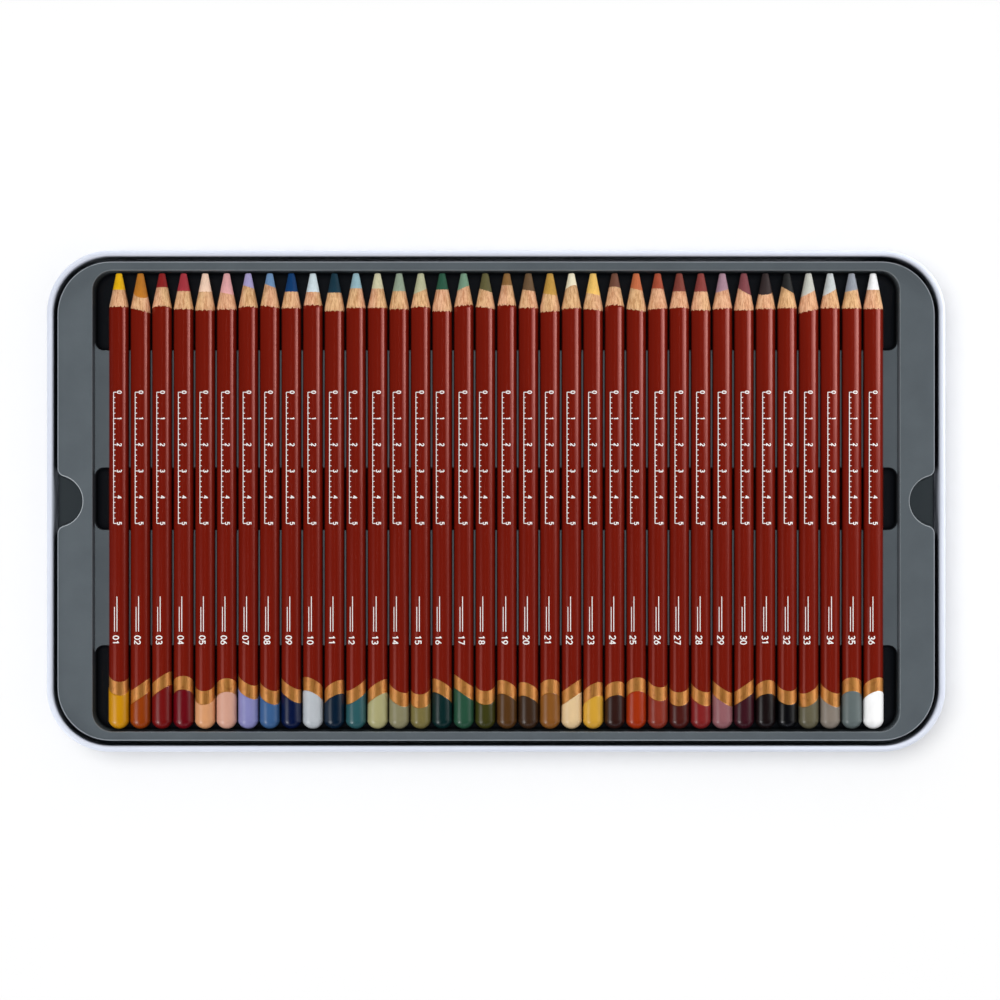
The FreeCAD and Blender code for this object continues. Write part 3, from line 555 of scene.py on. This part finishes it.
# Each digit is one pen stroke in a box 0.6 wide and 1 high
DIGITS = {
    "0": arc((0.3, 0.5), (0.28, 0.5), 90, 450, 24),
    "1": np.array([(0.1, 0.76), (0.34, 1.0), (0.34, 0.0)]),
    "2": np.vstack([arc((0.29, 0.71), (0.27, 0.29), 165, -35), [(0.02, 0.0), (0.58, 0.0)]]),
    "3": np.vstack([arc((0.28, 0.76), (0.25, 0.24), 150, -85), arc((0.28, 0.26), (0.29, 0.26), 85, -150)]),
    "4": np.array([(0.44, 0.0), (0.44, 1.0), (0.0, 0.3), (0.6, 0.3)]),
    "5": np.vstack([[(0.53, 1.0), (0.1, 1.0), (0.06, 0.56)], arc((0.28, 0.32), (0.29, 0.32), 125, -150)]),
    "6": SIX,
    "7": np.array([(0.0, 1.0), (0.58, 1.0), (0.2, 0.0)]),
    "8": np.vstack(
        [arc((0.3, 0.76), (0.23, 0.24), -90, 270, 18), arc((0.3, 0.26), (0.28, 0.26), 90, -270, 18)]
    ),
    "9": np.array([0.6, 1.0]) - SIX,
}


def digits(word, start, foot, height):
    """Strokes of a row of digits whose first one starts at a place along and stands on a foot line."""
    pitch = DIGIT_PITCH * height
    return [DIGITS[one] * height + (start + pitch * place, foot) for place, one in enumerate(word)]


def line(first, last):
    """A straight stroke."""
    return np.array([first, last], float)


def divided(stroke, step=0.2 * MM):
    """A stroke with points at most a step apart, so that it bends round the barrel."""
    run = np.linalg.norm(np.diff(stroke, axis=0), axis=1)
    reach = np.r_[0, np.cumsum(run)]
    runs = [
        np.linspace(near, far, max(2, math.ceil((far - near) / step) + 1))
        for near, far in zip(reach, reach[1:])
    ]
    places = np.unique(np.concatenate(runs))
    return np.c_[np.interp(places, reach, stroke[:, 0]), np.interp(places, reach, stroke[:, 1])]


def print_strokes(number):
    """The print of one pencil, a plain rule and its number, as (strokes, line width, place) groups."""
    ticks = np.arange(0, RULE_CENTIMETRES * 10 + 1, TICK_STEP)
    reach = np.where(ticks % 10 == 0, LONG_TICK, SHORT_TICK)
    tick_lines = [
        line((one * MM, RULE_FOOT), (one * MM, RULE_FOOT + high)) for one, high in zip(ticks, reach)
    ]
    tick_lines.append(line((0, RULE_FOOT), (ticks[-1] * MM, RULE_FOOT)))
    marks = [
        stroke
        for one in range(RULE_CENTIMETRES + 1)
        for stroke in digits(str(one), one * 10 * MM - DIGIT_MIDDLE * RULE_DIGIT, 0.0, RULE_DIGIT)
    ]
    word = f"{number:02d}"
    wide = DIGIT_PITCH * NUMBER_DIGIT * len(word)
    fine = [
        line((-wide - far * MM, high * MM), (-wide - FINE_GAP, high * MM)) for far, high in FINE_LINES
    ]
    return [
        (tick_lines, THIN_LINE, "rule"),
        (marks, BOLD_LINE, "rule"),
        (digits(word, -wide, -NUMBER_DIGIT / 2, NUMBER_DIGIT), NUMBER_LINE, "number"),
        (fine, THIN_LINE, "number"),
    ]


def ribbon(stroke, width):
    """Left and right edge of a stroke: its points moved sideways by half the width, with mitred corners.

    A mitre is (before + after) / (1 + before . after) of the two normals, kept short at sharp corners.
    """
    run = np.diff(stroke, axis=0)
    run = run / np.linalg.norm(run, axis=1)[:, None]
    normal = np.c_[-run[:, 1], run[:, 0]]
    before = np.vstack([normal[:1], normal])
    after = np.vstack([normal, normal[-1:]])
    mean = before + after
    mean = mean / np.maximum((mean * before).sum(axis=1), MITRE_FLOOR)[:, None]
    return stroke + mean * width / 2, stroke - mean * width / 2


def ink_film(strokes, width):
    """Closed thin bars along the strokes, as (along, across, lift) places and faces."""
    places, faces, first = [], [], 0
    for stroke in map(divided, strokes):
        left, right = ribbon(stroke, width)
        outline = ((left, INK_LIFT), (right, INK_LIFT), (right, -INK_LIFT), (left, -INK_LIFT))
        section = [np.c_[edge, np.full(len(edge), lift)] for edge, lift in outline]
        count = len(stroke)
        places.append(np.stack(section, axis=1).reshape(-1, 3))
        faces.extend((ring_faces(count, 4, first)[:, ::-1]).tolist())
        faces.append([first + 3 - corner for corner in range(4)])
        faces.append([first + 4 * (count - 1) + corner for corner in range(4)])
        first += 4 * count
    return np.vstack(places), faces


def make_pencil(number, look, materials):
    """One pencil: rings about its axis, closed at both ends, with its print as thin bars on the lacquer."""
    node = f"pencil_{number:02d}"
    low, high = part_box(node)
    middle_x, middle_z = (low.x + high.x) / 2, (low.z + high.z) / 2
    length = high.y - low.y
    angle, rows = pencil_rows(look, number, length)
    along = np.array([row[0] for row in rows])
    radius = np.array([row[1] for row in rows])
    finish = np.array([row[2] for row in rows])
    places = np.stack(
        [middle_x + radius * np.sin(angle), high.y - along, middle_z + radius * np.cos(angle)], axis=-1
    ).reshape(-1, 3)
    ends = [(middle_x, high.y, middle_z), (middle_x, low.y, middle_z)]
    count = len(rows) * COLUMNS
    column = np.arange(COLUMNS)
    after = (column + 1) % COLUMNS
    last = count - COLUMNS
    tip = np.c_[np.full(COLUMNS, count), column, after]
    end = np.c_[last + column, np.full(COLUMNS, count + 1), last + after]
    faces = ring_faces(len(rows), COLUMNS).tolist() + tip.tolist() + end.tolist()
    face_finish = [np.repeat(finish[:-1], COLUMNS), np.full(COLUMNS, CORE), np.full(COLUMNS, DIP)]
    all_places = [places, np.array(ends)]
    is_core = [np.repeat(finish < LACQUER, COLUMNS), np.array([True, False])]
    first = count + 2
    offsets = {
        "rule": (RULE_START, math.radians(look.print_roll)),
        "number": (NUMBER_END, math.radians(look.print_roll - NUMBER_ROLL)),
    }
    for strokes, width, place in print_strokes(number):
        film, film_faces = ink_film(strokes, width)
        start, roll = offsets[place]
        turn = roll + film[:, 1] / BARREL_RADIUS
        lift = BARREL_RADIUS + film[:, 2]
        film_x, film_z = middle_x + lift * np.sin(turn), middle_z + lift * np.cos(turn)
        all_places.append(np.c_[film_x, high.y - start - film[:, 0], film_z])
        faces.extend([[first + corner for corner in face] for face in film_faces])
        face_finish.append(np.full(len(film_faces), INK))
        is_core.append(np.zeros(len(film), bool))
        first += len(film)
    slots = np.concatenate(face_finish)
    piece = make_piece(node + "_finished", np.vstack(all_places), faces, materials, slots)
    core = np.concatenate(is_core)[:, None]
    pigment = np.where(core, np.array(linear(look.core)), np.array(linear(look.dip)))
    layer = piece.data.attributes.new("pigment", "FLOAT_COLOR", "POINT")
    layer.data.foreach_set("color", pigment.astype(np.float32).ravel())
    piece.data.polygons.foreach_set("use_smooth", slots != INK)
    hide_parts(node)
    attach(piece, node)
    return piece


def rounded_loop(half_length, half_width, corner, inset, height, steps=28):
    """A rounded rectangle moved inwards by inset: four corner arcs of radius corner - inset, in order."""
    turn = np.linspace(0, math.pi / 2, steps)
    quarter = np.arange(4)[:, None] * math.pi / 2
    angle = (quarter + turn[None, :]).ravel()
    side_x = np.repeat([1, -1, -1, 1], steps) * (half_length - corner)
    side_y = np.repeat([1, 1, -1, -1], steps) * (half_width - corner)
    radius = corner - inset
    level = np.full(len(angle), height)
    return np.c_[side_x + radius * np.cos(angle), side_y + radius * np.sin(angle), level]


def make_tin(material):
    """The tin: its section carried round a rounded rectangle, and closed by the floor and the underside.

    The section, as (inset, height), runs over the floor, up the inner wall, round the curl and back inside
    it, down the outer wall and under the floor. A curl point has an inset of rim radius - radius * cos(angle)
    and a height of rim height + radius * sin(angle).
    """
    low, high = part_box("tin_base")
    half_length, half_width = (high.x - low.x) / 2, (high.y - low.y) / 2
    rim_height = high.z - RIM_RADIUS
    wall_inset = 2 * RIM_RADIUS
    inner_edge = TIN_EDGE_RADIUS - PLATE
    section = [(wall_inset + inner_edge + step, PLATE) for step in reversed(FLAT_RINGS)]
    for turn in np.linspace(-math.pi / 2, 0, 7):
        inset = wall_inset + inner_edge - inner_edge * math.cos(turn)
        section.append((inset, PLATE + inner_edge + inner_edge * math.sin(turn)))
    section += [(wall_inset, part * rim_height) for part in WALL_RINGS]
    inner_rows = len(section)
    for turn in np.linspace(math.pi, math.pi - RIM_TURN, 40):
        section.append((RIM_RADIUS - RIM_RADIUS * math.cos(turn), rim_height + RIM_RADIUS * math.sin(turn)))
    inside = RIM_RADIUS - PLATE
    for turn in np.linspace(math.pi - RIM_TURN, math.pi, 30):
        section.append((RIM_RADIUS - inside * math.cos(turn), rim_height + inside * math.sin(turn)))
    outer_inset = wall_inset - PLATE
    section += [(outer_inset, part * rim_height) for part in reversed(WALL_RINGS)]
    for turn in np.linspace(0, -math.pi / 2, 8):
        inset = outer_inset + TIN_EDGE_RADIUS - TIN_EDGE_RADIUS * math.cos(turn)
        section.append((inset, TIN_EDGE_RADIUS + TIN_EDGE_RADIUS * math.sin(turn)))
    section += [(outer_inset + TIN_EDGE_RADIUS + step, 0.0) for step in FLAT_RINGS]
    loops = [rounded_loop(half_length, half_width, TIN_CORNER, inset, level) for inset, level in section]
    columns = len(loops[0])
    faces = ring_faces(len(loops), columns).tolist()
    faces.append(list(range(columns)))
    last = (len(loops) - 1) * columns
    faces.append([last + corner for corner in reversed(range(columns))])
    middle = np.array([(low.x + high.x) / 2, (low.y + high.y) / 2, low.z])
    piece = make_piece("tin_finished", np.vstack(loops) + middle, faces, [material])
    height = np.array([level for _, level in section])
    # Painted shade on the floor and inner wall, darkest lowest down
    depth = np.clip(PAINTED_SHADE_SLOPE * (1 - height / rim_height), 0, 1)
    painted_deep_shade = np.where(np.arange(len(section)) < inner_rows, depth, 0)
    layer = piece.data.attributes.new("painted_deep_shade", "FLOAT", "POINT")
    layer.data.foreach_set("value", np.repeat(painted_deep_shade, columns).astype(np.float32))
    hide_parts("tin_base")
    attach(piece, "base")
    return piece


def make_tray(material):
    """The tray: its solid's triangles with joined corners, smooth over its roundings and sharp elsewhere."""
    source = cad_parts["pencil_tray"].data
    places = np.empty(len(source.vertices) * 3, np.float32)
    source.vertices.foreach_get("co", places)
    corners = np.empty(len(source.loops), np.int32)
    source.loops.foreach_get("vertex_index", corners)
    cells = np.round(places.reshape(-1, 3).astype(float) / JOIN_GRID).astype(np.int64)
    joined, which = np.unique(cells, axis=0, return_inverse=True)
    faces = which.ravel()[corners].reshape(-1, 3)
    whole = (faces[:, 0] != faces[:, 1]) & (faces[:, 1] != faces[:, 2]) & (faces[:, 2] != faces[:, 0])
    piece = make_piece("tray_finished", joined * JOIN_GRID, faces[whole].tolist(), [material])
    piece.data.set_sharp_from_angle(angle=SHARP_ANGLE)
    weighted = piece.modifiers.new("flat_faces_stay_flat", "WEIGHTED_NORMAL")
    weighted.keep_sharp = True
    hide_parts("pencil_tray")
    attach(piece, "tray")
    return piece


def make_floor():
    """A pale matt floor, faintly brighter to the camera and in reflections, that keeps the soft shadow."""
    material, start = new_material("pale_floor")
    dust = start.noise((0.2, 0.2, 0.2), detail=2.0)
    pale = dust.mix((0.74, 0.74, 0.74, 1), (0.76, 0.76, 0.76, 1))
    matt = start.node("BsdfDiffuse", (), {"Color": pale})
    seen = start.node("LightPath", out="Is Camera Ray")
    shown = start.node("LightPath", out="Is Glossy Ray")
    through = start.node("LightPath", out="Is Transmission Ray")
    glow = start.node("Emission", (), {"Strength": FLOOR_GLOW * (seen + shown + through)})
    both = start.node("AddShader", (), {0: matt, 1: glow})
    start.node("OutputMaterial", (), {"Surface": both})
    corners = FLOOR_HALF * np.array([(-1, -1), (1, -1), (1, 1), (-1, 1)])
    floor = make_piece("floor", np.c_[corners, np.full(4, -FLOOR_DROP)], [[0, 1, 2, 3]], [material])
    return floor


def lit_only(name, pieces):
    """A collection of the pieces that a lamp shines on."""
    group = bpy.data.collections.new(name)
    for piece in pieces:
        group.objects.link(piece)
    return group


def add_lamp(data, place, target, receivers, glossy=True):
    """Puts a lamp at a place, turned to a target."""
    lamp = bpy.data.objects.new(data.name, data)
    lamp.location = place
    lamp.rotation_euler = (Vector(target) - Vector(place)).to_track_quat("-Z", "Y").to_euler()
    lamp.light_linking.receiver_collection = receivers
    lamp.visible_glossy = glossy
    lamp.visible_camera = False
    bpy.context.scene.collection.objects.link(lamp)


def softbox(name, place, target, wide, high, radiance, receivers, glossy=True):
    """A rectangular lamp of a given radiance, which can be kept out of highlights."""
    data = bpy.data.lights.new(name, "AREA")
    data.shape = "RECTANGLE"
    data.size, data.size_y = wide, high
    data.energy = radiance * math.pi * wide * high
    add_lamp(data, place, target, receivers, glossy)


def sky(name, place, level, spread, receivers):
    """A broad, even light from afar that gives no highlights."""
    data = bpy.data.lights.new(name, "SUN")
    data.energy = level
    data.angle = math.radians(spread)
    add_lamp(data, place, (0, 0, 0), receivers, glossy=False)


def make_light(floor, pieces):
    """Low softboxes round the set and soft light from above.

    Floor, tin, tray and pencils have lamps of their own, and the low lamps that would mirror in the tray or
    along the barrels give no highlights.
    """
    world = bpy.data.worlds.new("studio")
    world.use_nodes = True
    backdrop = world.node_tree.nodes["Background"]
    backdrop.inputs["Color"].default_value = (0.97, 0.99, 1.0, 1)
    backdrop.inputs["Strength"].default_value = WORLD_LEVEL
    bpy.context.scene.world = world
    ground = lit_only("floor_only", [floor])
    tin, tray, *pencils = pieces
    tin_only = lit_only("tin_only", [tin])
    tray_only = lit_only("tray_only", [tray])
    pencils_only = lit_only("pencils_only", pencils)
    tin_and_pencils = lit_only("tin_and_pencils", [tin, *pencils])
    own = lit_only("whole_set", pieces)
    sky("sun_on_floor", (-0.24, 0.14, 1.0), 1.6, 40, ground)
    sky("dome_on_floor", (0, 0, 1.0), 2.5, 150, ground)
    sky("sky_on_tray", (0, 0, 1.0), 2.5, 18, tray_only)
    sky("sky_on_pencils", (0, 0, 1.0), 1.75, 18, pencils_only)
    for turn in np.radians([45, 135, 225, 315]):
        sky("sky_on_tin", (math.cos(turn), math.sin(turn), 1.0), 0.58, 20, tin_only)
    softbox("strip_right", (0.66, 0.155, 0.24), (0, 0.155, 0.01), 0.23, 0.30, 9.0, tin_and_pencils)
    softbox("wash_right_high", (0.52, 0.155, 0.46), (0, 0.155, 0.01), 0.23, 0.22, 4.0, tin_and_pencils)
    softbox("wash_right", (0.66, -0.33, 0.22), (0, -0.33, 0.01), 0.70, 0.16, 0.9, tin_and_pencils)
    softbox("box_left", (-0.62, -0.36, 0.48), (0, -0.36, 0.01), 0.54, 0.40, 2.9, tin_and_pencils)
    softbox("edge_right", (0.90, 0.10, 0.27), (0, 0, 0.01), 0.30, 0.18, 4.5, tray_only, glossy=False)
    softbox("edge_left", (-0.90, -0.10, 0.27), (0, 0, 0.01), 0.30, 0.18, 3.5, tray_only, glossy=False)
    softbox("box_top", (-0.10, 0.97, 0.26), (0, 0, 0.01), 0.90, 0.12, 16.0, own, glossy=False)
    softbox("box_bottom", (-0.35, -0.92, 0.27), (0, 0, 0.01), 0.70, 0.20, 5.0, tray_only, glossy=False)
    softbox("lamp_low_left", (-0.70, -0.70, 0.45), (0, 0, 0.01), 0.22, 0.22, 16.0, own)


def make_camera():
    """The camera straight above the set, at the distance and place that the picture's frame gives."""
    data = bpy.data.cameras.new("camera")
    data.sensor_width = SENSOR_WIDTH
    data.lens = data.sensor_width * CAMERA_DISTANCE / FRAME_WIDTH
    camera = bpy.data.objects.new("camera", data)
    camera.location = (CAMERA_X, CAMERA_Y, PENCIL_LEVEL + CAMERA_DISTANCE)
    bpy.context.scene.collection.objects.link(camera)
    bpy.context.scene.camera = camera


bpy.context.scene.view_settings.view_transform = "Standard"
make_camera()
pieces = [make_tin(pale_tin_lacquer()), make_tray(grey_tray_sheet())]
finishes = [colour_core(), cut_cedar(), brick_red_lacquer(), copper_foil(), dip_paint(), white_ink()]
for number, look in enumerate(LOOKS, start=1):
    pieces.append(make_pencil(number, look, finishes))
make_light(make_floor(), pieces)
